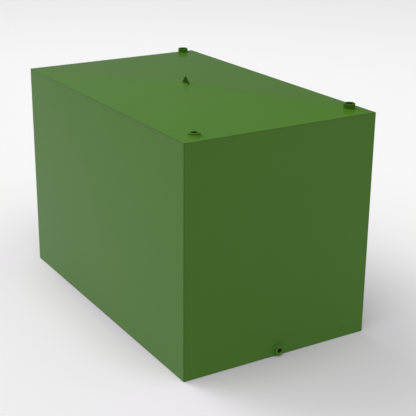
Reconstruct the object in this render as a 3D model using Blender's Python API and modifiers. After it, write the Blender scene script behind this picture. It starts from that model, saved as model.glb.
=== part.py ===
"""Single skin oil tank: a rectangular box of welded steel plate that stands on its own base.

X is the width, Y the length and Z the height, in metres. The origin is the middle of the
underside. The front end, with the outlet, faces -Y. Every plate stops short of the edges of
the box, and the open corner that is left between two plates is filled by a seam weld.
"""

import math
from typing import NamedTuple

import bmesh
import bpy
from mathutils import Matrix, Vector

# The shell, measured outside.
WIDTH = 1.12
LENGTH = 1.83
HEIGHT = 1.225
PLATE = 0.003
TOP_RISE = 0.032  # the cross-broken top plate stands this far above its edges at the middle

SEAT_GAP = 0.0003  # between pieces that touch
FILLET = 0.003  # leg of the fillet welds round the sockets and along the lug

# The filling and venting sockets, upright tubes that pass through the top plate.
SOCKET_OUTER = 0.060
SOCKET_BORE = 0.0465
SOCKET_STAND = 0.026  # above the plate, at the socket's middle
FILL_FROM_RIGHT = 0.075
FILL_FROM_FRONT = 0.122
VENT_FROM_RIGHT = 0.088
VENT_EDGE_CLEAR = 0.0015  # between the vent's fillet weld and the back seam

# The low boss for the contents gauge, at the front left. Its rim is cut back wider than the
# sockets', and its weld is larger, so that most of its side slopes.
GAUGE_OUTER = 0.058
GAUGE_BORE = 0.036
GAUGE_STAND = 0.0145
GAUGE_RIM_CHAMFER = 0.003
GAUGE_FILLET = 0.0065
GAUGE_FROM_LEFT = 0.107
GAUGE_FROM_FRONT = 0.088

# The outlet socket, low down on the front end.
OUTLET_OUTER = 0.050
OUTLET_BORE = 0.0264
OUTLET_STAND = 0.018
OUTLET_HEIGHT = 0.033  # from the ground to its middle
OUTLET_FROM_MIDDLE = 0.004  # to the right of the middle of the front end

SOCKET_INSIDE = 0.003  # how far each fitting reaches past the inner face of its plate
BORE_CHAMFER = 0.0015
RIM_CHAMFER = 0.001

# The lifting lug, a thin three-cornered plate that stands lengthwise on the peak.
LUG_LENGTH = 0.066
LUG_HEIGHT = 0.041
LUG_THICKNESS = 0.006
LUG_NOSE = 0.004  # radius of its upper corner
LUG_HEEL = 0.004  # height of its upright ends
LUG_FROM_MIDDLE = 0.017  # to the left of the middle

ROUND_STEPS = 64
SEAM_STEPS = 4
NOSE_STEPS = 6
OVERCUT = 0.005  # how far cutters reach past what they cut
MERGE_WITHIN = SEAT_GAP / 10  # points of one piece that lie closer than this are joined
SHARP_ANGLE = math.radians(30)

TANK_GREEN = (0.062, 0.180, 0.013, 1.0)
SHELL_ROUGHNESS = 0.35
WELD_ROUGHNESS = 0.45


class Fitting(NamedTuple):
    """A round fitting's sizes: its tube, the chamfer of its rim and the leg of its weld."""

    outer: float
    bore: float
    stand: float
    rim: float
    leg: float


parts = bpy.data.collections.new("single_skin_oil_tank")
cutters = bpy.data.collections.new("cutters")


def clear_scene():
    for piece in list(bpy.data.objects):
        bpy.data.objects.remove(piece, do_unlink=True)
    bpy.context.scene.collection.children.link(parts)
    bpy.context.scene.collection.children.link(cutters)
    cutters.hide_render = True


def paint(piece, roughness):
    """Gives a piece its own coat of the tank's green paint."""
    material = bpy.data.materials.new(f"{piece.name}_paint")
    material.use_nodes = True
    shader = material.node_tree.nodes["Principled BSDF"]
    shader.inputs["Base Color"].default_value = TANK_GREEN
    shader.inputs["Roughness"].default_value = roughness
    shader.inputs["Metallic"].default_value = 0.0
    piece.data.materials.append(material)


def add(name, mesh, parent=None, collection=parts):
    piece = bpy.data.objects.new(name, mesh)
    collection.objects.link(piece)
    piece.parent = parent
    if collection is cutters:
        piece.hide_render = True
        piece.display_type = "WIRE"
    return piece


def seat(name, location, lean=(0.0, 0.0), parent=None):
    """An empty that carries one fitting. lean is the slope of the surface along X and Y."""
    empty = bpy.data.objects.new(name, None)
    empty.empty_display_size = SOCKET_OUTER
    parts.objects.link(empty)
    empty.parent = parent
    empty.location = location
    upward = Vector((-lean[0], -lean[1], 1.0))
    empty.rotation_euler = upward.to_track_quat("Z", "Y").to_euler()
    return empty


def trim(piece, cutter, operation="DIFFERENCE"):
    modifier = piece.modifiers.new(cutter.name, "BOOLEAN")
    modifier.operation = operation
    modifier.solver = "EXACT"
    modifier.object = cutter


def box(name, spans, parent=None, collection=parts):
    """A box from its (low, high) along X, Y and Z."""
    size = [high - low for low, high in spans]
    middle = [(high + low) / 2 for low, high in spans]
    mesh = bpy.data.meshes.new(name)
    solid = bmesh.new()
    bmesh.ops.create_cube(solid, size=1.0, matrix=Matrix.Diagonal((*size, 1.0)))
    solid.to_mesh(mesh)
    solid.free()
    piece = add(name, mesh, parent, collection)
    piece.location = middle
    return piece


def turned(name, profile, parent):
    """A closed profile of (radius, height) points turned about the parent's Z axis."""
    mesh = bpy.data.meshes.new(name)
    points = [(radius, 0.0, height) for radius, height in profile]
    links = [(i, (i + 1) % len(points)) for i in range(len(points))]
    mesh.from_pydata(points, links, [])
    piece = add(name, mesh, parent)
    screw = piece.modifiers.new("turn", "SCREW")
    screw.axis = "Z"
    screw.steps = ROUND_STEPS
    screw.render_steps = ROUND_STEPS
    screw.use_merge_vertices = True
    screw.merge_threshold = MERGE_WITHIN
    screw.use_smooth_shade = True
    return piece


def round_cutter(name, radius, low, high, parent):
    """A solid round bar along the parent's Z axis, with as many sides as the turned pieces."""
    mesh = bpy.data.meshes.new(name)
    solid = bmesh.new()
    bmesh.ops.create_cone(
        solid,
        cap_ends=True,
        segments=ROUND_STEPS,
        radius1=radius,
        radius2=radius,
        depth=high - low,
        matrix=Matrix.Translation((0.0, 0.0, (high + low) / 2)) @ Matrix.Rotation(math.pi / 2, 4, "Z"),
    )
    solid.to_mesh(mesh)
    solid.free()
    return add(name, mesh, parent, cutters)


def settle(piece):
    """Turns a piece's modifiers into plain mesh, shaded smooth between its sharp edges."""
    bpy.context.view_layer.update()
    graph = bpy.context.evaluated_depsgraph_get()
    mesh = bpy.data.meshes.new_from_object(piece.evaluated_get(graph))
    piece.modifiers.clear()
    piece.data = mesh
    mesh.shade_smooth()
    mesh.set_sharp_from_angle(angle=SHARP_ANGLE)


def outline(name, points, half_depth, parent):
    """A flat closed outline in the parent's XY plane, thickened both ways along its Z axis."""
    curve = bpy.data.curves.new(name, "CURVE")
    curve.dimensions = "2D"
    curve.fill_mode = "BOTH"
    curve.extrude = half_depth
    spline = curve.splines.new("POLY")
    spline.points.add(len(points) - 1)
    for point, (x, y) in zip(spline.points, points):
        point.co = (x, y, 0.0, 1.0)
    spline.use_cyclic_u = True
    guide = add(f"{name}_outline", curve, parent)
    bpy.context.view_layer.update()
    graph = bpy.context.evaluated_depsgraph_get()
    mesh = bpy.data.meshes.new_from_object(guide.evaluated_get(graph))
    solid = bmesh.new()
    solid.from_mesh(mesh)
    bmesh.ops.remove_doubles(solid, verts=solid.verts, dist=MERGE_WITHIN)
    bmesh.ops.recalc_face_normals(solid, faces=solid.faces)
    solid.to_mesh(mesh)
    solid.free()
    bpy.data.objects.remove(guide, do_unlink=True)
    mesh.name = name
    return add(name, mesh, parent)


def edge_spans(low, high):
    """Where plates and seams lie along one axis of the box."""
    return {
        "low plate": (low, low + PLATE),
        "high plate": (high - PLATE, high),
        "between": (low + PLATE + SEAT_GAP, high - PLATE - SEAT_GAP),
        "low seam": (low - OVERCUT, low + PLATE),
        "high seam": (high - PLATE, high + OVERCUT),
        "full": (low - OVERCUT, high + OVERCUT),
    }


ACROSS = edge_spans(-WIDTH / 2, WIDTH / 2)
ALONG = edge_spans(-LENGTH / 2, LENGTH / 2)
UPWARD = edge_spans(0.0, HEIGHT)


def plate(name, across, along, upward, parent):
    piece = box(name, (ACROSS[across], ALONG[along], UPWARD[upward]), parent)
    paint(piece, SHELL_ROUGHNESS)
    return piece


def top_height(x, y):
    """Height of the top plate's outer face, which falls in four facets from the middle."""
    half_width = ACROSS["between"][1]
    half_length = ALONG["between"][1]
    share = min(1 - abs(x) / half_width, 1 - abs(y) / half_length)
    return HEIGHT + TOP_RISE * share


def top_lean(x, y, reach):
    """Slope of the top plate along X and Y, taken across a foot that reaches this far."""
    along_x = (top_height(x + reach, y) - top_height(x - reach, y)) / (2 * reach)
    along_y = (top_height(x, y + reach) - top_height(x, y - reach)) / (2 * reach)
    return along_x, along_y


def top_skin(name, parent):
    """The cross-broken top: a sheet creased along both diagonals, thickened downwards."""
    mesh = bpy.data.meshes.new(name)
    sheet = bmesh.new()
    bmesh.ops.create_grid(sheet, x_segments=1, y_segments=1, size=1.0)
    middle = bmesh.ops.poke(sheet, faces=sheet.faces)["verts"][0]
    for corner in sheet.verts:
        corner.co.x *= ACROSS["between"][1]
        corner.co.y *= ALONG["between"][1]
    middle.co.z = TOP_RISE
    sheet.to_mesh(mesh)
    sheet.free()
    piece = add(name, mesh, parent)
    piece.location = (0.0, 0.0, HEIGHT)
    shell = piece.modifiers.new("thickness", "SOLIDIFY")
    shell.thickness = PLATE
    shell.offset = -1.0
    return piece


def top_ground(parent):
    """All that lies under the top plate's facets and their seat gap, to cut feet to them.

    The facets run on past the plate's edges, because a weld's uncut foot reaches over them.
    """
    half_width, half_length = ACROSS["between"][1], ALONG["between"][1]
    spread = 1 + (2 * FILLET + OVERCUT) / min(half_width, half_length)
    half_width *= spread
    half_length *= spread
    rise = TOP_RISE * spread
    rim = HEIGHT + TOP_RISE + SEAT_GAP - rise
    spans = ((-half_width, half_width), (-half_length, half_length), (0.0, rim))
    ground = box("top_ground", spans, parent, cutters)
    shape = bmesh.new()
    shape.from_mesh(ground.data)
    upper = max(shape.faces, key=lambda face: face.normal.z)
    middle = bmesh.ops.poke(shape, faces=[upper])["verts"][0]
    middle.co.z += rise
    shape.to_mesh(ground.data)
    shape.free()
    return ground


def seam_weld(name, across, along, upward, form, parent):
    """A bead that fills the open corner between two plates, out to the rounded box form."""
    bead = box(name, (ACROSS[across], ALONG[along], UPWARD[upward]), parent)
    trim(bead, form, "INTERSECT")
    settle(bead)
    paint(bead, WELD_ROUGHNESS)


def box_form(parent):
    """The whole box with its edges rounded by the plate's thickness, as the welds leave them."""
    half_width, half_length = WIDTH / 2, LENGTH / 2
    spans = ((-half_width, half_width), (-half_length, half_length), (0.0, HEIGHT))
    form = box("box_form", spans, parent, cutters)
    bevel = form.modifiers.new("weld round", "BEVEL")
    bevel.width = PLATE
    bevel.segments = SEAM_STEPS
    bevel.limit_method = "NONE"
    return form


def seam_welds(parent):
    form = box_form(parent)
    for end, along in (("front", "low seam"), ("back", "high seam")):
        seam_weld(f"{end}_left_corner_weld", "low seam", along, "between", form, parent)
        seam_weld(f"{end}_right_corner_weld", "high seam", along, "between", form, parent)
    for level, upward in (("base", "low seam"), ("top", "high seam")):
        seam_weld(f"{level}_left_seam_weld", "low seam", "full", upward, form, parent)
        seam_weld(f"{level}_right_seam_weld", "high seam", "full", upward, form, parent)
        seam_weld(f"{level}_front_seam_weld", "between", "low seam", upward, form, parent)
        seam_weld(f"{level}_back_seam_weld", "between", "high seam", upward, form, parent)


def socket(name, fitting, inside, carrier, parent):
    """A welded socket: a short tube through its plate, chamfered at the mouth."""
    outer_radius, bore_radius = fitting.outer / 2, fitting.bore / 2
    profile = [
        (bore_radius + BORE_CHAMFER, fitting.stand),
        (outer_radius - fitting.rim, fitting.stand),
        (outer_radius, fitting.stand - fitting.rim),
        (outer_radius, -inside),
        (bore_radius, -inside),
        (bore_radius, fitting.stand - BORE_CHAMFER),
    ]
    tube = turned(name, profile, parent)
    settle(tube)
    paint(tube, SHELL_ROUGHNESS)
    hole_radius = outer_radius + SEAT_GAP
    trim(carrier, round_cutter(f"{name}_hole", hole_radius, -inside - OVERCUT, fitting.stand, parent))


def fillet_section(root, leg, foot):
    """A fillet weld's section, as (distance out, height): its face falls at 45 degrees."""
    return [(root, leg), (root + leg - foot, foot), (root, foot)]


def fillet_ring(name, fitting, tilt, parent, ground=None):
    """The fillet weld round a socket. On the top plate its foot is cut to the facets."""
    inner_radius = fitting.outer / 2 / math.cos(tilt) + fitting.leg * math.sin(tilt) + SEAT_GAP
    foot = SEAT_GAP if ground is None else -fitting.leg
    ring = turned(name, fillet_section(inner_radius, fitting.leg, foot), parent)
    if ground is not None:
        trim(ring, ground)
    settle(ring)
    paint(ring, WELD_ROUGHNESS)


def top_fitting(name, fitting, x, y, top_plate, ground, parent):
    """A fitting that stands upright on the top plate, with a fillet that leans with the plate."""
    place = (x, y, top_height(x, y))
    upright = seat(f"{name}_seat", place, parent=parent)
    reach = fitting.outer / 2 + fitting.leg
    lean = top_lean(x, y, reach)
    tilt = math.atan(math.hypot(*lean))
    leaning = seat(f"{name}_weld_seat", place, lean, parent)
    socket(name, fitting, PLATE + SOCKET_INSIDE + reach * math.tan(tilt), top_plate, upright)
    fillet_ring(f"{name}_weld", fitting, tilt, leaning, ground)


def outlet(front_plate, parent):
    place = (OUTLET_FROM_MIDDLE, -LENGTH / 2, OUTLET_HEIGHT)
    facing_out = seat("outlet_socket_seat", place, parent=parent)
    facing_out.rotation_euler = (math.pi / 2, 0.0, 0.0)
    fitting = Fitting(OUTLET_OUTER, OUTLET_BORE, OUTLET_STAND, RIM_CHAMFER, FILLET)
    socket("outlet_socket", fitting, PLATE + SOCKET_INSIDE, front_plate, facing_out)
    fillet_ring("outlet_socket_weld", fitting, 0.0, facing_out)


def lug_outline():
    """The lug's side view: upright heels, straight flanks and a rounded nose."""
    half = LUG_LENGTH / 2
    slope = math.atan2(LUG_HEIGHT - LUG_HEEL, half)
    nose_middle = LUG_HEIGHT - LUG_NOSE / math.cos(slope)
    turn_from = math.pi / 2 - slope
    turn_to = math.pi / 2 + slope
    nose = []
    for step in range(NOSE_STEPS + 1):
        angle = turn_from + (turn_to - turn_from) * step / NOSE_STEPS
        nose.append((LUG_NOSE * math.cos(angle), nose_middle + LUG_NOSE * math.sin(angle)))
    foot = -TOP_RISE
    return [(-half, foot), (half, foot), (half, LUG_HEEL), *nose, (-half, LUG_HEEL)]


def lifting_lug(ground, parent):
    place = (-LUG_FROM_MIDDLE, 0.0, top_height(LUG_FROM_MIDDLE, 0.0))
    standing = seat("lug_seat", place, parent=parent)
    standing.rotation_euler = (math.pi / 2, 0.0, math.pi / 2)
    lug = outline("lifting_lug", lug_outline(), LUG_THICKNESS / 2, standing)
    trim(lug, ground)
    settle(lug)
    paint(lug, SHELL_ROUGHNESS)
    for side, sign in (("left", -1), ("right", 1)):
        along = seat(f"lug_{side}_weld_seat", place, parent=parent)
        along.rotation_euler = (math.pi / 2, 0.0, 0.0)
        section = fillet_section(LUG_THICKNESS / 2 + SEAT_GAP, FILLET, -FILLET)
        section = [(sign * out, height) for out, height in section]
        bead = outline(f"lug_{side}_weld", section, LUG_LENGTH / 2, along)
        trim(bead, ground)
        settle(bead)
        paint(bead, WELD_ROUGHNESS)


def build_tank():
    clear_scene()
    tank = seat("tank", (0.0, 0.0, 0.0))
    plate("base_plate", "between", "between", "low plate", tank)
    plate("left_side_plate", "low plate", "between", "between", tank)
    plate("right_side_plate", "high plate", "between", "between", tank)
    plate("back_end_plate", "between", "high plate", "between", tank)
    front_plate = plate("front_end_plate", "between", "low plate", "between", tank)
    top_plate = top_skin("top_plate", tank)
    paint(top_plate, SHELL_ROUGHNESS)
    seam_welds(tank)

    ground = top_ground(tank)
    fill_x, fill_y = WIDTH / 2 - FILL_FROM_RIGHT, FILL_FROM_FRONT - LENGTH / 2
    vent_reach = SOCKET_OUTER / 2 + SEAT_GAP + FILLET + VENT_EDGE_CLEAR
    vent_x, vent_y = WIDTH / 2 - VENT_FROM_RIGHT, ALONG["between"][1] - vent_reach
    gauge_x, gauge_y = GAUGE_FROM_LEFT - WIDTH / 2, GAUGE_FROM_FRONT - LENGTH / 2
    tube = Fitting(SOCKET_OUTER, SOCKET_BORE, SOCKET_STAND, RIM_CHAMFER, FILLET)
    boss = Fitting(GAUGE_OUTER, GAUGE_BORE, GAUGE_STAND, GAUGE_RIM_CHAMFER, GAUGE_FILLET)
    top_fitting("fill_socket", tube, fill_x, fill_y, top_plate, ground, tank)
    top_fitting("vent_socket", tube, vent_x, vent_y, top_plate, ground, tank)
    top_fitting("gauge_boss", boss, gauge_x, gauge_y, top_plate, ground, tank)
    outlet(front_plate, tank)
    lifting_lug(ground, tank)


build_tank()
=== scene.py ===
# %% [markdown]
# # A single skin oil tank
#
# The tank is a box of 3 mm steel plate. Every edge is welded, the lid is cross-broken so that
# rain runs off it, and the whole is painted green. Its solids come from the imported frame, at
# their real size and place. This script gives them their paint, adds the fine forms that only
# a close look shows, and builds a plain studio round the tank. All lengths are in metres.

# %% Load the solids
import math

import bmesh
import bpy
from mathutils import Matrix, Vector


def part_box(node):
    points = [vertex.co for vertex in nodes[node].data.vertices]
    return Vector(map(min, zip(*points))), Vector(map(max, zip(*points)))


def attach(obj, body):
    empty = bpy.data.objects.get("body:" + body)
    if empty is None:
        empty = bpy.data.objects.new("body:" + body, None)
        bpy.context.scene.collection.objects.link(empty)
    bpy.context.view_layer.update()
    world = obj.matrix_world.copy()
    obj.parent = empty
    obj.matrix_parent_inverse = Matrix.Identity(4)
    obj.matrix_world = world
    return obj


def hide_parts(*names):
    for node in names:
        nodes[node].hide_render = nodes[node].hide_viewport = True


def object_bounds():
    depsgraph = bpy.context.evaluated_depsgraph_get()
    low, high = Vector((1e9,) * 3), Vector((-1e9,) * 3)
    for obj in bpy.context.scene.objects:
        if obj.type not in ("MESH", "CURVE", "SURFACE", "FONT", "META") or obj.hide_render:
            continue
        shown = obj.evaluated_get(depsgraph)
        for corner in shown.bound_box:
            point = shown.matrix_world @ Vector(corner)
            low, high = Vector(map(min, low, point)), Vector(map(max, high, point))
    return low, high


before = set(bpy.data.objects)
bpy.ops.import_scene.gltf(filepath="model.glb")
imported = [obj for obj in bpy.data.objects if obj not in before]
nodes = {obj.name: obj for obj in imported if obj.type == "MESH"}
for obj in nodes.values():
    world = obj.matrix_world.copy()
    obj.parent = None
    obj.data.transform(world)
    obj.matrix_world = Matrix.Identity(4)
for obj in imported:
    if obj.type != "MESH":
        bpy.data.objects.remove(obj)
cad_low, cad_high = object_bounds()
print(f"{len(nodes)} solids, {cad_high.x - cad_low.x:.3f} x {cad_high.y - cad_low.y:.3f}"
      f" x {cad_high.z - cad_low.z:.3f} m")

# %% [markdown]
# ## The camera
#
# The tank is seen from in front, from its left and from above. The lens is long, so the
# upright edges lean together only a little. A camera can be turned by eye until the picture
# looks right, but a wrong lens is then easily hidden by a wrong distance. So the place, the
# angles and the lens here are worked out: they are those at which the box's seven corners that
# show fall where the photograph has them. The frame is shifted by a few hundredths, because
# the tank does not stand exactly in the middle of its picture.

# %% Camera
CAMERA_PLACE = (-2.794, -4.767, 2.538)
CAMERA_TILT = 70.24  # degrees up from looking straight down
CAMERA_TURN = -29.95  # degrees about the vertical
LENS = 88.66  # mm
SENSOR_WIDTH = 36.0  # mm
SHIFT_RIGHT = 0.0648  # share of the picture's width
SHIFT_UP = -0.0115
FARTHEST_SEEN = 200.0

camera_data = bpy.data.cameras.new("camera")
camera_data.lens = LENS
camera_data.sensor_width = SENSOR_WIDTH
camera_data.shift_x = SHIFT_RIGHT
camera_data.shift_y = SHIFT_UP
camera_data.clip_end = FARTHEST_SEEN
camera = bpy.data.objects.new("camera", camera_data)
camera.location = CAMERA_PLACE
camera.rotation_euler = (math.radians(CAMERA_TILT), 0.0, math.radians(CAMERA_TURN))
bpy.context.scene.collection.objects.link(camera)
bpy.context.scene.camera = camera
bpy.context.scene.view_settings.view_transform = "Standard"
print(f"camera {camera.location.length:.2f} m from the tank's foot, {LENS} mm lens")

# %% [markdown]
# ## Writing shader maths
#
# A paint is a small sum: a slow drift plus a fine speckle, times a strength. Node by node that
# is hard to read, so one class wraps an output socket and lets Python's own operators add the
# Math nodes. Every other node comes from a single method that takes its kind, its settings and
# what goes into its sockets.

# %% Wire and graph
def grey(level):
    """A neutral colour, as colour sockets take it: red, green, blue and alpha."""
    return (level, level, level, 1.0)


WHITE = grey(1.0)


class Wire:
    """One output of a node. Arithmetic on it adds Math nodes to its graph."""

    def __init__(self, graph, socket):
        self.graph = graph
        self.socket = socket

    def __add__(self, other):
        return self.graph.math("ADD", self, other)

    def __radd__(self, other):
        return self.graph.math("ADD", other, self)

    def __sub__(self, other):
        return self.graph.math("SUBTRACT", self, other)

    def __rsub__(self, other):
        return self.graph.math("SUBTRACT", other, self)

    def __mul__(self, other):
        return self.graph.math("MULTIPLY", self, other)

    def __rmul__(self, other):
        return self.graph.math("MULTIPLY", other, self)

    def __truediv__(self, other):
        return self.graph.math("DIVIDE", self, other)

    def __rtruediv__(self, other):
        return self.graph.math("DIVIDE", other, self)


class Graph:
    """The nodes of one material, or of the world."""

    def __init__(self, owner):
        owner.use_nodes = True
        self.tree = owner.node_tree

    def node(self, kind, settings=None, inputs=None, output=0):
        """Adds a node: first its settings, then the values or links of its sockets."""
        node = self.tree.nodes.new(kind)
        for name, value in (settings or {}).items():
            setattr(node, name, value)
        self.fill(node, inputs or {})
        return Wire(self, node.outputs[output])

    def fill(self, node, inputs):
        """Gives each named socket its value, or links it to a wire."""
        for name, value in inputs.items():
            if isinstance(value, Wire):
                self.tree.links.new(value.socket, node.inputs[name])
            else:
                node.inputs[name].default_value = value

    def math(self, operation, *values):
        """A Math node by name, for what Python has no operator for."""
        return self.node("ShaderNodeMath", {"operation": operation}, dict(enumerate(values)))

    def vector_math(self, operation, *values, output="Vector"):
        """The same for points and directions."""
        inputs = dict(enumerate(values))
        return self.node("ShaderNodeVectorMath", {"operation": operation}, inputs, output)

    def axes(self, vector):
        """The three coordinates of a point or a direction."""
        parts = self.node("ShaderNodeSeparateXYZ", None, {"Vector": vector})
        return [Wire(self, socket) for socket in parts.socket.node.outputs]

    def noise(self, place, size, detail=2.0):
        """Soft random relief from 0 to 1, whose lumps are about this wide."""
        inputs = {"Vector": place, "Scale": 1 / size, "Detail": detail}
        return self.node("ShaderNodeTexNoise", None, inputs, "Fac")

    def blend(self, share, first, second):
        """A colour between two others. A Mix node's colours are its sockets 6 and 7."""
        inputs = {0: share, 6: first, 7: second}
        return self.node("ShaderNodeMix", {"data_type": "RGBA"}, inputs, 2)


print("shader maths is ready")

# %% [markdown]
# ## The green paint
#
# The tank has one coat of green gloss, sprayed on. Up close such a coat is not flat: it dries
# with a faint orange peel, a few millimetres from lump to lump and some hundredths of a
# millimetre high. Over a larger distance the coat's thickness drifts, so its colour and its
# gloss change a little from place to place, and the thin plate under it is never quite true.
# A thin pale dusty film is painted on it, on some faces more than on others; it is also a
# painted sheen, which stands for part of the reflection.
#
# A painted picture could be wrapped round the tank, but it would need seams and a file. All of
# the above is noise of different sizes, and noise has neither, so one function makes every
# coat from it.

# %% One function for every coat
THIN_GREEN = (0.066, 0.189, 0.0140)  # where the coat is thin
THICK_GREEN = (0.058, 0.171, 0.0113)  # where it is thick
PEEL_WIDTH = 0.0028
PEEL_HEIGHT = 0.00003
PLATE_WAVE_WIDTH = 0.45
PLATE_WAVE_HEIGHT = 0.0004
SPECKLE_WIDTH = 0.012
SPECKLE_SHARE = 0.2  # of the change in thickness; the slow drift makes the rest
SPECKLE_ROUGHNESS = 0.10  # what the speckle adds to the roughness from its least to its most
# The pale film's colour: dusty, and a painted sheen.
DUST_AND_SHEEN = grey(0.75)
DUST_AND_SHEEN_UNEVEN = 0.6  # how much the speckle thins and thickens the pale film
CLEAR_LAYER_IOR = 1.25


def with_painted_light(colour, fade):
    """A paint colour made paler by this share, as painted light, or darker below 0, as painted
    shade.
    """
    return tuple(channel * (1 + fade) for channel in colour) + (1.0,)


def coat(name, ior, roughness, relief=None, gloss=None, fade=0.0, dust_and_sheen=None):
    """A coat of the green paint. relief adds its own height to the orange peel's.

    gloss lays a clear layer of its own over the paint: how much it reflects, and how rough.
    fade makes the paint paler, as painted light, or darker below 0, as painted shade.
    The last argument gives the share of the surface that the pale film hides, a dusty film
    that is also a painted sheen.
    """
    material = bpy.data.materials.new(name)
    graph = Graph(material)
    place = graph.node("ShaderNodeTexCoord", output="Object")
    drift = graph.noise(place, PLATE_WAVE_WIDTH)
    speckle = graph.noise(place, SPECKLE_WIDTH, detail=3.0)
    peel = graph.noise(place, PEEL_WIDTH, detail=1.0)
    thickness = drift * (1 - SPECKLE_SHARE) + speckle * SPECKLE_SHARE
    height = peel * PEEL_HEIGHT + drift * PLATE_WAVE_HEIGHT
    if relief is not None:
        height = height + relief(graph, place)
    bump = graph.node("ShaderNodeBump", None, {"Height": height, "Distance": 1.0})
    colour = graph.blend(thickness, with_painted_light(THIN_GREEN, fade), with_painted_light(THICK_GREEN, fade))
    if dust_and_sheen is not None:
        # The pale film is blended into the colour: dusty, and a painted sheen.
        patchy = 1 - DUST_AND_SHEEN_UNEVEN / 2 + speckle * DUST_AND_SHEEN_UNEVEN
        colour = graph.blend(dust_and_sheen(graph, place) * patchy, colour, DUST_AND_SHEEN)
    paint = graph.tree.nodes["Principled BSDF"]
    graph.fill(paint, {
        "Base Color": colour,
        "Roughness": roughness + (speckle - 0.5) * SPECKLE_ROUGHNESS,
        "Normal": bump,
        "IOR": ior,
    })
    if gloss is not None:
        reflectance, gloss_roughness = gloss
        layer = graph.node("ShaderNodeBsdfAnisotropic", None, {
            "Color": grey(reflectance),
            "Roughness": gloss_roughness,
            "Normal": bump,
        })
        share = graph.node("ShaderNodeFresnel", None, {"IOR": CLEAR_LAYER_IOR, "Normal": bump})
        both = graph.node("ShaderNodeMixShader", None,
                          {0: share, 1: Wire(graph, paint.outputs[0]), 2: layer})
        graph.fill(graph.tree.nodes["Material Output"], {"Surface": both})
    return material


print(f"orange peel {1000 * PEEL_WIDTH:.1f} mm wide, {1e6 * PEEL_HEIGHT:.0f} microns high")

# %% [markdown]
# ## The lid's folds
#
# The lid is cross-broken: it is pressed along both diagonals, so that it rises to its middle
# and stays stiff. On the solids its four flat facets meet in hard edges. A press bends the
# plate round a blunt blade, so a real fold is a soft bend.
#
# A bevel along the edges would round them, but the solid's shape stays as it is. So a relief in
# the lid's own coat takes the hard edges away and puts a slightly higher lid with soft bends
# in their place.

# %% The lid's facets
EDGE_REACH = 0.001  # a corner this close to the side of the lid's box is on its edge
lid_low, lid_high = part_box("top_plate")
lid_edge = max(corner.co.z for corner in nodes["top_plate"].data.vertices
               if corner.co.x < lid_low.x + EDGE_REACH)
lid_rise = lid_high.z - lid_edge


def lid_height(x, y):
    """Height of the lid's outer face: four facets that fall from the middle to the edges."""
    return lid_edge + lid_rise * min(1 - abs(x) / lid_high.x, 1 - abs(y) / lid_high.y)


print(f"lid rises {1000 * lid_rise:.1f} mm to its middle")

# %% Soft folds
FOLD_RISE = 0.006  # what the relief adds from the edges to the middle
FOLD_BEND = 0.20  # how far a bend reaches from its line, as a share of half the lid's width


def folds(graph, place):
    """The lid with soft bends, less the lid with hard edges."""
    across, along, _ = graph.axes(place)
    from_side = 1 - graph.math("ABSOLUTE", across) / lid_high.x
    from_end = 1 - graph.math("ABSOLUTE", along) / lid_high.y
    hard = graph.math("MINIMUM", from_side, from_end)
    soft = graph.math("SMOOTH_MIN", from_side, from_end, FOLD_BEND)
    return soft * (lid_rise + FOLD_RISE) - hard * lid_rise


print(f"folds bend over {1000 * FOLD_BEND * lid_high.x:.0f} mm on either side of their lines")

# %% [markdown]
# ## Paint on the lid
#
# The pale dusty film, which is also a painted sheen, is thickest at the lid's back left
# corner, and hardly there at its front right one. It could be painted on by hand, but a drift
# as even as this is one share in the middle and a slope along each side. The lid's paint is
# also made paler, as painted light. A clear layer over the lid's paint gives its gloss: it has
# a shader of its own, so that it can be smoother than the filmed paint under it.

# %% The lid's coat
LID_PAINT_IOR = 1.0  # the paint itself does not shine
LID_PAINT_ROUGHNESS = 0.40
# Painted light: how much paler the lid's paint is made.
LID_PAINTED_LIGHT = 0.22
LID_REFLECTANCE = 0.175
LID_GLOSS_ROUGHNESS = 0.15
LID_DUST_AND_SHEEN = 0.0205  # the share of the pale film, dusty and a painted sheen, in the middle
DUST_AND_SHEEN_TO_BACK = 0.0154  # more of it at the back edge
DUST_AND_SHEEN_TO_RIGHT = -0.0137  # and less of it at the right edge


def lid_dust_and_sheen(graph, place):
    """The share of the pale film, dusty and a painted sheen, at a place on the lid."""
    across, along, _ = graph.axes(place)
    return across / cad_high.x * DUST_AND_SHEEN_TO_RIGHT + along / cad_high.y * DUST_AND_SHEEN_TO_BACK + LID_DUST_AND_SHEEN


lid_coat = coat("lid_coat", LID_PAINT_IOR, LID_PAINT_ROUGHNESS, folds,
                (LID_REFLECTANCE, LID_GLOSS_ROUGHNESS), LID_PAINTED_LIGHT, lid_dust_and_sheen)
print(f"{100 * LID_DUST_AND_SHEEN:.1f}% dust in the middle of the lid")

# %% [markdown]
# ## Paint on the sides
#
# The sides keep more of their gloss, because rain washes them. The left side faces the light,
# so its paint is made paler, as painted light, and it is duller; the other sides are made a
# touch paler too. A pale dusty film, which is also a painted sheen, lies on the left side, most
# of it near the foot, and a little higher up, towards the front. Each is again a share that
# changes evenly over the face.

# %% The sides' coats
WALL_IOR = 1.33
LEFT_IOR = 1.22
SIDE_ROUGHNESS = 0.35
# Painted light: how much paler the sides' paint is made, the left side most.
WALL_PAINTED_LIGHT = 0.03
LEFT_PAINTED_LIGHT = 0.11
FOOT_DUST_AND_SHEEN = 0.038  # the share of the pale film, dusty and a painted sheen, along the foot
FRONT_DUST_AND_SHEEN = 0.020  # and at the upper front corner


def side_dust_and_sheen(graph, place):
    """The share of the pale film, dusty and a painted sheen, at a place on the left side."""
    _, along, up = graph.axes(place)
    height = up / cad_high.z
    to_front = (1 - along / cad_high.y) / 2
    return (1 - height) * FOOT_DUST_AND_SHEEN + height * to_front * FRONT_DUST_AND_SHEEN


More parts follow.
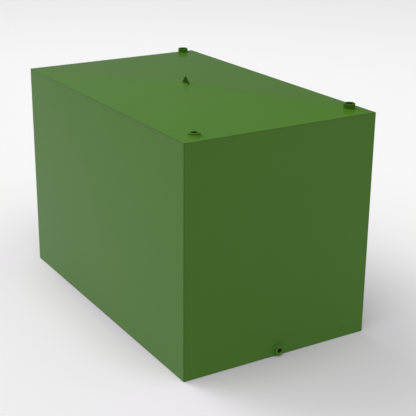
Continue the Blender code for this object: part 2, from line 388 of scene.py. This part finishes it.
wall_coat = coat("wall_coat", WALL_IOR, SIDE_ROUGHNESS, fade=WALL_PAINTED_LIGHT)
left_coat = coat("left_coat", LEFT_IOR, SIDE_ROUGHNESS, fade=LEFT_PAINTED_LIGHT, dust_and_sheen=side_dust_and_sheen)
print(f"{100 * FOOT_DUST_AND_SHEEN:.1f}% dust along the left side's foot")

# %% [markdown]
# ## Paint over the seam welds
#
# The welder moves along a seam in small steps, and each step leaves a ripple. The paint rounds
# the ripples off but does not fill them. Built in mesh they would take over 300,000 faces for
# a form that is a tenth of a millimetre high, so they are a relief in the paint. A seam runs
# along X, Y or Z, and on each of them the sum of the three coordinates grows steadily, so one
# sine of that sum serves for all twelve.

# %% The coat over the welds
RIPPLE_STEP = 0.0022
RIPPLE_HEIGHT = 0.00012
SEAM_IOR = 1.30
SEAM_ROUGHNESS = 0.42
SEAM_PAINTED_SHADE = -0.25  # painted shade: the welds' paint is made darker, as if in shade


def ripples(graph, place):
    """Height of the ripples at a place on a seam."""
    across, along, up = graph.axes(place)
    phase = (across + along + up) * (2 * math.pi / RIPPLE_STEP)
    return graph.math("SINE", phase) * RIPPLE_HEIGHT


seam_coat = coat("seam_coat", SEAM_IOR, SEAM_ROUGHNESS, ripples, fade=SEAM_PAINTED_SHADE)
print(f"ripples {RIPPLE_STEP * 1000:.1f} mm apart")

# %% [markdown]
# ## Paint on the fittings
#
# The fittings' paint is duller than the plates', but the outlet is washed like the end plate
# that it stands on. The large weld round the low boss is made paler, as painted light. The lug
# is made darker, as painted shade, and the threads in the bores darker still, as painted shade
# in the recess. Under all that it is one paint, so the four coats differ only in how much
# painted light or shade they carry.

# %% The fittings' coats
FITTING_IOR = 1.10
FITTING_ROUGHNESS = 0.40
# Painted light: how much paler the boss's weld is made.
BOSS_WELD_PAINTED_LIGHT = 0.40
# Painted shade: how much darker the lug's and the threads' paint is made.
LUG_PAINTED_SHADE = -0.45
BORE_PAINTED_SHADE = -0.65

fitting_coat = coat("fitting_coat", FITTING_IOR, FITTING_ROUGHNESS)
boss_weld_lit_coat = coat("boss_weld_lit_coat", FITTING_IOR, FITTING_ROUGHNESS, fade=BOSS_WELD_PAINTED_LIGHT)
lug_shaded_coat = coat("lug_shaded_coat", FITTING_IOR, FITTING_ROUGHNESS, fade=LUG_PAINTED_SHADE)
thread_shaded_coat = coat("thread_shaded_coat", FITTING_IOR, FITTING_ROUGHNESS, fade=BORE_PAINTED_SHADE)
print("four coats for the fittings")

# %% [markdown]
# ## Painting the solids
#
# Each solid's name ends with what it is, such as plate, weld or socket. So the coats are looked
# up by the end of the name, the narrower names first, and no list of all the solids is needed.

# %% Put the coats on the solids
COATS = {
    "top_plate": lid_coat,
    "left_side_plate": left_coat,
    "plate": wall_coat,
    "seam_weld": seam_coat,
    "corner_weld": seam_coat,
    "outlet_socket": wall_coat,
    "socket": fitting_coat,
    "boss": fitting_coat,
    "weld": fitting_coat,
    "lug": lug_shaded_coat,
}

for name, solid in nodes.items():
    kind = next(kind for kind in COATS if name.endswith(kind))
    solid.data.materials.clear()
    solid.data.materials.append(COATS[kind])
print(f"{len(nodes)} solids painted")

# %% [markdown]
# ## Lofting a small solid
#
# A thread and a weld bead have one thing in common: a small section that moves along a path
# and changes on the way. A curve with a bevel sweeps a section of one shape only, so both are
# made by one function, which takes the sections as rows of points, joins each row to the next
# with faces, and closes the ends or the ring.

# %% Loft
SHARP_ANGLE = math.radians(40)


def loft(name, rows, closed, finish):
    """A solid through rows of points, each row a closed section. It rides on the tank."""
    count = len(rows[0])
    points = [point for row in rows for point in row]
    faces = []
    for row in range(len(rows) if closed else len(rows) - 1):
        here = row * count
        there = (row + 1) % len(rows) * count
        for corner in range(count):
            after = (corner + 1) % count
            faces.append((here + corner, here + after, there + after, there + corner))
    if not closed:
        faces.append(tuple(range(count)))
        faces.append(tuple(len(points) - count + corner for corner in reversed(range(count))))
    mesh = bpy.data.meshes.new(name)
    mesh.from_pydata(points, [], faces)
    shape = bmesh.new()
    shape.from_mesh(mesh)
    bmesh.ops.recalc_face_normals(shape, faces=shape.faces)
    shape.to_mesh(mesh)
    shape.free()
    mesh.shade_smooth()
    mesh.set_sharp_from_angle(angle=SHARP_ANGLE)
    mesh.materials.append(finish)
    piece = bpy.data.objects.new(name, mesh)
    bpy.context.scene.collection.objects.link(piece)
    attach(piece, "root")
    print(f"{name}: {len(mesh.polygons)} faces")
    return piece


# %% [markdown]
# ## Threads in the bores
#
# Pipes screw into the sockets, so each bore has a parallel pipe thread. The solids leave it
# out, because it is too fine for them. A real thread could be cut with a Boolean, but a ridge
# laid on the bore's wall looks the same and costs far less: a three-sided ridge with a blunt
# crest that climbs by one pitch in each turn, and fades out over half a turn at both ends. Its
# size comes from the bore, so the fitting is measured first.

# %% Measure a turned fitting
ALONG, UP = 1, 2  # the axes that the turned fittings point along: Y and Z


def turned_fitting(node, axis):
    """A turned fitting's middle, its bore's and its outside's radius, and its length."""
    low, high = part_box(node)
    middle = (low + high) / 2
    arms = [vertex.co - middle for vertex in nodes[node].data.vertices]
    for arm in arms:
        arm[axis] = 0.0
    reach = [arm.length for arm in arms]
    print(f"{node}: bore {2000 * min(reach):.1f} mm, outside {2000 * max(reach):.1f} mm")
    return middle, min(reach), max(reach), (high - low)[axis]


# %% Threads
THREAD_STEPS = 48  # sections in a turn
THREAD_FADE = 0.5  # turns
THREAD_DEPTH = 0.37  # of the pitch
THREAD_SUNK = 0.0002  # how far the ridge's foot reaches into the wall
CREST = 0.08  # half the crest's width, as a share of the pitch
FLANK = 0.46  # half the foot's width
MOUTH_ROOM = 0.002  # no thread in the chamfer at either end


def thread(socket, axis, pitch):
    """Lays a thread on the wall of a fitting's bore."""
    middle, bore, _, length = turned_fitting(socket, axis)
    upright = Matrix.Translation(middle)
    if axis == ALONG:
        upright = upright @ Matrix.Rotation(math.pi / 2, 4, "X")
    climb = length - 2 * MOUTH_ROOM - pitch
    steps = int(climb / pitch * THREAD_STEPS)
    fade_steps = THREAD_FADE * THREAD_STEPS
    rows = []
    for step in range(steps + 1):
        angle = 2 * math.pi * step / THREAD_STEPS
        height = pitch * step / THREAD_STEPS - climb / 2
        fade = min(1.0, step / fade_steps, (steps - step) / fade_steps)
        foot = bore + THREAD_SUNK
        crest = bore - THREAD_DEPTH * pitch * fade
        section = [(foot, -FLANK), (crest, -CREST), (crest, CREST), (foot, FLANK)]
        rows.append([upright @ Vector((radius * math.cos(angle), radius * math.sin(angle),
                                       height + share * pitch)) for radius, share in section])
    loft(f"{socket}_thread", rows, False, thread_shaded_coat)


PITCH_LARGE = 0.002309  # 11 threads to the inch
PITCH_SMALL = 0.001814  # 14 threads to the inch
thread("fill_socket", UP, PITCH_LARGE)
thread("vent_socket", UP, PITCH_LARGE)
thread("gauge_boss", UP, PITCH_LARGE)
thread("outlet_socket", ALONG, PITCH_SMALL)

# %% [markdown]
# ## Weld beads round the fittings
#
# A fillet weld is not the plain cone of the solids. The melted metal swells a little, and it
# sets in ripples, one behind the other like fish scales, while the welder goes round. A ring
# with noise on it would look lumpy, but not welded. So each bead here is a loft whose section
# swells and shrinks with the ripples and wavers slowly, as a hand does. On the lid its foot
# follows the slope of the facets.

# %% A bead's section
BEAD_LEG = 0.0033
BOSS_BEAD_LEG = 0.0068  # the gauge boss has a larger weld than the sockets
BEAD_RIPPLE = 0.0024  # from one ripple to the next
BEAD_SUNK = 0.0003  # below the plate and into the fitting
SECTION_STEPS = 6
RIPPLE_SAMPLES = 6
SWELL = 0.45  # from a straight face, 0, to a round one, 1
WAVERS = ((0.05, 3, 1), (0.03, 7, 2))  # share of the leg, waves in the bead, where they start
RIPPLE_SWELL = 0.07  # of the leg
RIPPLE_LEAD = 1.2  # radians by which a ripple's middle runs ahead of its ends


def bead_section(along, ripple_phase, leg=BEAD_LEG):
    """Points (out, up) of the bead's section. along grows from 0 to 2 pi over the bead."""
    waver = sum((share * math.sin(waves * along + start) for share, waves, start in WAVERS), 1.0)
    section = [(-BEAD_SUNK, -BEAD_SUNK)]
    for step in range(SECTION_STEPS + 1):
        turn = math.pi / 2 * step / SECTION_STEPS
        straight = 1 / (math.cos(turn) + math.sin(turn))
        middle = math.sin(2 * turn)  # 1 in the middle of the section, 0 at both legs
        ripple = 1 + RIPPLE_SWELL * math.sin(ripple_phase + RIPPLE_LEAD * middle)
        reach = leg * waver * (straight + SWELL * (1 - straight) * middle) * ripple
        section.append((reach * math.cos(turn), reach * math.sin(turn)))
    section[1] = (section[1][0], -BEAD_SUNK)
    section[-1] = (-BEAD_SUNK, section[-1][1])
    return section


print(f"a bead's section has {len(bead_section(0.0, 0.0))} corners")

# %% Beads round the four fittings
front_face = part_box("front_end_plate")[0].y


def ring_bead(fitting, axis, leg=BEAD_LEG, finish=fitting_coat):
    """A bead round a fitting that stands on the lid, or on the front end."""
    middle, _, outer, _ = turned_fitting(fitting, axis)
    ripples_round = round(2 * math.pi * outer / BEAD_RIPPLE)
    samples = ripples_round * RIPPLE_SAMPLES
    rows = []
    for sample in range(samples):
        angle = 2 * math.pi * sample / samples
        row = []
        for out, up in bead_section(angle, ripples_round * angle, leg):
            across = (outer + out) * math.cos(angle)
            along = (outer + out) * math.sin(angle)
            if axis == UP:
                x, y = middle.x + across, middle.y + along
                row.append((x, y, lid_height(x, y) + up))
            else:
                row.append((middle.x + across, front_face - up, middle.z + along))
        rows.append(row)
    piece = loft(f"{fitting}_bead", rows, True, finish)
    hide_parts(f"{fitting}_weld")


ring_bead("fill_socket", UP)
ring_bead("vent_socket", UP)
ring_bead("gauge_boss", UP, BOSS_BEAD_LEG, boss_weld_lit_coat)
ring_bead("outlet_socket", ALONG, finish=wall_coat)

# %% [markdown]
# ## The lug's two beads
#
# The lug is a thin plate on the peak of the lid, welded along both of its sides. One ring round
# it would have to turn sharply at the plate's ends, where a welder stops. So each side gets a
# straight bead of the same section, closed at both ends.

# %% Beads along both sides of the lug
lug_low, lug_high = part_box("lifting_lug")
lug_length = lug_high.y - lug_low.y
lug_ripples = round(lug_length / BEAD_RIPPLE)


def lug_bead(side, face, sign):
    """A bead along the lug's face at this X. sign says which way along X it swells."""
    samples = lug_ripples * RIPPLE_SAMPLES
    rows = []
    for sample in range(samples + 1):
        share = sample / samples
        y = lug_low.y + lug_length * share
        section = bead_section(2 * math.pi * share, 2 * math.pi * lug_ripples * share)
        rows.append([(face + sign * out, y, lid_height(face + sign * out, y) + up)
                     for out, up in section])
    piece = loft(f"lug_{side}_bead", rows, False, fitting_coat)
    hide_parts(f"lug_{side}_weld")


lug_bead("left", lug_low.x, -1)
lug_bead("right", lug_high.x, 1)

# %% [markdown]
# ## The studio's light
#
# The photograph's shadow is soft and lies in front of the tank, a little to its right. The lid
# is the brightest face, and the left side is brighter than the front. So the light is a dim
# horizon that grows bright overhead and towards the front left, plus one large soft lamp high
# behind the tank.
#
# Area lamps could make the same light, but each would have a size and a distance to find. Here
# both lights are far away, so both are written into the world as sums on the direction of a
# ray. Light Path keeps that sky out of the picture: what the camera sees, and what shows as a
# reflection, is one pale backdrop.

# %% Sky
SKY_OVERHEAD = 1.295
SKY_POWER = 2.18  # how fast it grows from the horizon up
SKY_RIGHT = -1.0  # how much brighter towards +X
SKY_BACK = -1.5  # and towards +Y
LAMP_STRENGTH = 4.0
LAMP_WIDTH_POWER = 13.3  # half as bright 18 degrees from its middle
LAMP_BEARING = math.radians(112)  # from +X towards +Y
LAMP_RISE = math.radians(38)
BACKDROP = 0.84

lamp_direction = (math.cos(LAMP_RISE) * math.cos(LAMP_BEARING),
                  math.cos(LAMP_RISE) * math.sin(LAMP_BEARING), math.sin(LAMP_RISE))


def shown(graph):
    """1 for rays that show a thing to the camera, directly or in a mirror or glass."""
    path = graph.node("ShaderNodeLightPath").socket.node.outputs
    direct, mirrored, through_glass = (
        Wire(graph, path[kind])
        for kind in ("Is Camera Ray", "Is Glossy Ray", "Is Transmission Ray"))
    return graph.math("MAXIMUM", direct, graph.math("MAXIMUM", mirrored, through_glass))


world = bpy.data.worlds.new("studio")
bpy.context.scene.world = world
sky = Graph(world)
direction = sky.node("ShaderNodeTexCoord", output="Generated")
right, back, up = sky.axes(direction)
towards_lamp = sky.vector_math("DOT_PRODUCT", direction, lamp_direction, output="Value")
uneven = right * SKY_RIGHT + back * SKY_BACK + 1
overhead = sky.math("POWER", sky.math("MAXIMUM", up, 0.0), SKY_POWER) * SKY_OVERHEAD
lamp = sky.math("POWER", sky.math("MAXIMUM", towards_lamp, 0.0), LAMP_WIDTH_POWER) * LAMP_STRENGTH
light = overhead * sky.math("MAXIMUM", uneven, 0.0) + lamp
seen = shown(sky)
sky.fill(sky.tree.nodes["Background"], {
    "Color": WHITE,
    "Strength": light * (1 - seen) + seen * BACKDROP,
})
print(f"sky {SKY_OVERHEAD} overhead, lamp {LAMP_STRENGTH}")

# %% [markdown]
# ## The floor
#
# The floor is a plain pale sheet that runs far out, and it catches the tank's shadow. A painted
# shadow makes it a little greyer in front of the tank, as in the photograph, and far out it
# fades into the backdrop, so that no horizon shows even from low down. Both are soft steps on a
# distance along the floor. Close to the tank the sheet is a touch darker, as painted contact
# shade, and pinker, which takes back the green light that the tank throws on it: the
# photograph's floor is neutral there.
#
# In the photograph the sides are as light at the foot as higher up. Low lamps at the sides would
# do that, but they would wash the shadow out. So what the floor sends up to the sides is one
# even glow, about as bright as the lit floor, without the shade that the tank itself casts.

# %% The sheet
FLOOR_RADIUS = 60.0
FLOOR_CORNERS = 96
FLOOR_DROP = 0.0005  # below the tank's underside

floor_mesh = bpy.data.meshes.new("floor")
bearings = [2 * math.pi * corner / FLOOR_CORNERS for corner in range(FLOOR_CORNERS)]
rim = [(FLOOR_RADIUS * math.cos(bearing), FLOOR_RADIUS * math.sin(bearing), 0.0)
       for bearing in bearings]
floor_mesh.from_pydata(rim, [], [list(range(FLOOR_CORNERS))])
floor = bpy.data.objects.new("floor", floor_mesh)
floor.location.z = -FLOOR_DROP
bpy.context.scene.collection.objects.link(floor)
print(f"floor {2 * FLOOR_RADIUS:.0f} m across")

# %% How far a spot of the floor lies from the tank
SHADOW_PATCH_MIDDLE = (-1.5, -2.9, 0.0)  # the middle of the painted shadow's patch
FAR_MIDDLE = (-0.35, 2.0, 0.0)  # the middle of the pale area
FOOT_ROUND = 0.5  # radius of the corners of a line drawn round the tank's foot

floor_finish = bpy.data.materials.new("floor_finish")
sheet = Graph(floor_finish)
place = sheet.node("ShaderNodeTexCoord", output="Object")

# The line is that of a smaller box, grown by this radius. The box is 1 m high, so that the
# floor's own height counts for nothing.
core = (cad_high.x - FOOT_ROUND, cad_high.y - FOOT_ROUND, 1.0)
outside = sheet.vector_math("SUBTRACT", sheet.vector_math("ABSOLUTE", place), core)
past_core = sheet.vector_math("MAXIMUM", outside, (0.0, 0.0, 0.0))
from_foot = sheet.vector_math("LENGTH", past_core, output="Value") - FOOT_ROUND
from_shadow_patch = sheet.vector_math("DISTANCE", place, SHADOW_PATCH_MIDDLE, output="Value")
from_middle = sheet.vector_math("DISTANCE", place, FAR_MIDDLE, output="Value")
print(f"the line round the foot is {2 * cad_high.x:.2f} x {2 * cad_high.y:.2f} m")

# %% The floor's finish
FLOOR_SHOWN = 0.979
FLOOR_SHOWN_IN_SHADOW = 0.88
FLOOR_SHOWN_FAR = 0.85
FLOOR_GLOW = 0.66
FLOOR_IOR = 1.02  # matt, with next to no gloss
SHADOW_PATCH_REACH = (0.4, 6.0)  # painted shadow up to here, and pale from there on
FAR_REACH = (3.4, 12.4)  # pale up to here, and like the backdrop from there on
FOOT_PAINTED_SHADE = 0.10  # painted contact shade: how much darker the sheet is right beside the tank
FOOT_REACH = (0.0, 0.35)  # from the foot to where that ends
FOOT_TINGE = (0.99, 0.947, 1.0, 1.0)  # its colour near the tank
TINGE_REACH = (0.0, 1.5)
CLOSE_TINGE = (0.94, 0.868, 0.98, 1.0)  # and its colour where it meets the tank: darker, as painted contact shade, and pinker
CLOSE_REACH = (0.0, 0.10)


def beyond(distance, reach):
    """0 below the reach, 1 above it, with a soft step between."""
    return sheet.node("ShaderNodeMapRange", {"interpolation_type": "SMOOTHSTEP"},
                      {"Value": distance, "From Min": reach[0], "From Max": reach[1]})


# A painted shadow in front of the tank, painted contact shade at its foot, and the fade into the
# backdrop far out.
painted_front_shadow = (1 - beyond(from_shadow_patch, SHADOW_PATCH_REACH)) * (FLOOR_SHOWN - FLOOR_SHOWN_IN_SHADOW)
far_grey = beyond(from_middle, FAR_REACH) * (FLOOR_SHOWN - FLOOR_SHOWN_FAR)
painted_foot_shade = (1 - beyond(from_foot, FOOT_REACH)) * FOOT_PAINTED_SHADE
wide_tinge = sheet.blend(beyond(from_foot, TINGE_REACH), FOOT_TINGE, WHITE)
tinge = sheet.blend(beyond(from_foot, CLOSE_REACH), CLOSE_TINGE, wide_tinge)
tone = sheet.node("ShaderNodeVectorMath", {"operation": "SCALE"},
                  {"Vector": tinge, "Scale": FLOOR_SHOWN - painted_front_shadow - far_grey - painted_foot_shade})
lit_sheet = sheet.tree.nodes["Principled BSDF"]
sheet.fill(lit_sheet, {"Base Color": tone, "Roughness": 1.0, "IOR": FLOOR_IOR})
glow = sheet.node("ShaderNodeEmission", None, {"Color": WHITE, "Strength": FLOOR_GLOW})
both_faces = sheet.node("ShaderNodeMixShader", None,
                        {0: shown(sheet), 1: glow, 2: Wire(sheet, lit_sheet.outputs[0])})
sheet.fill(sheet.tree.nodes["Material Output"], {"Surface": both_faces})
floor_finish.cycles.emission_sampling = "NONE"  # rays find so wide a sheet by themselves
floor.data.materials.append(floor_finish)
print(f"floor shown at {FLOOR_SHOWN}, and it glows at {FLOOR_GLOW}")
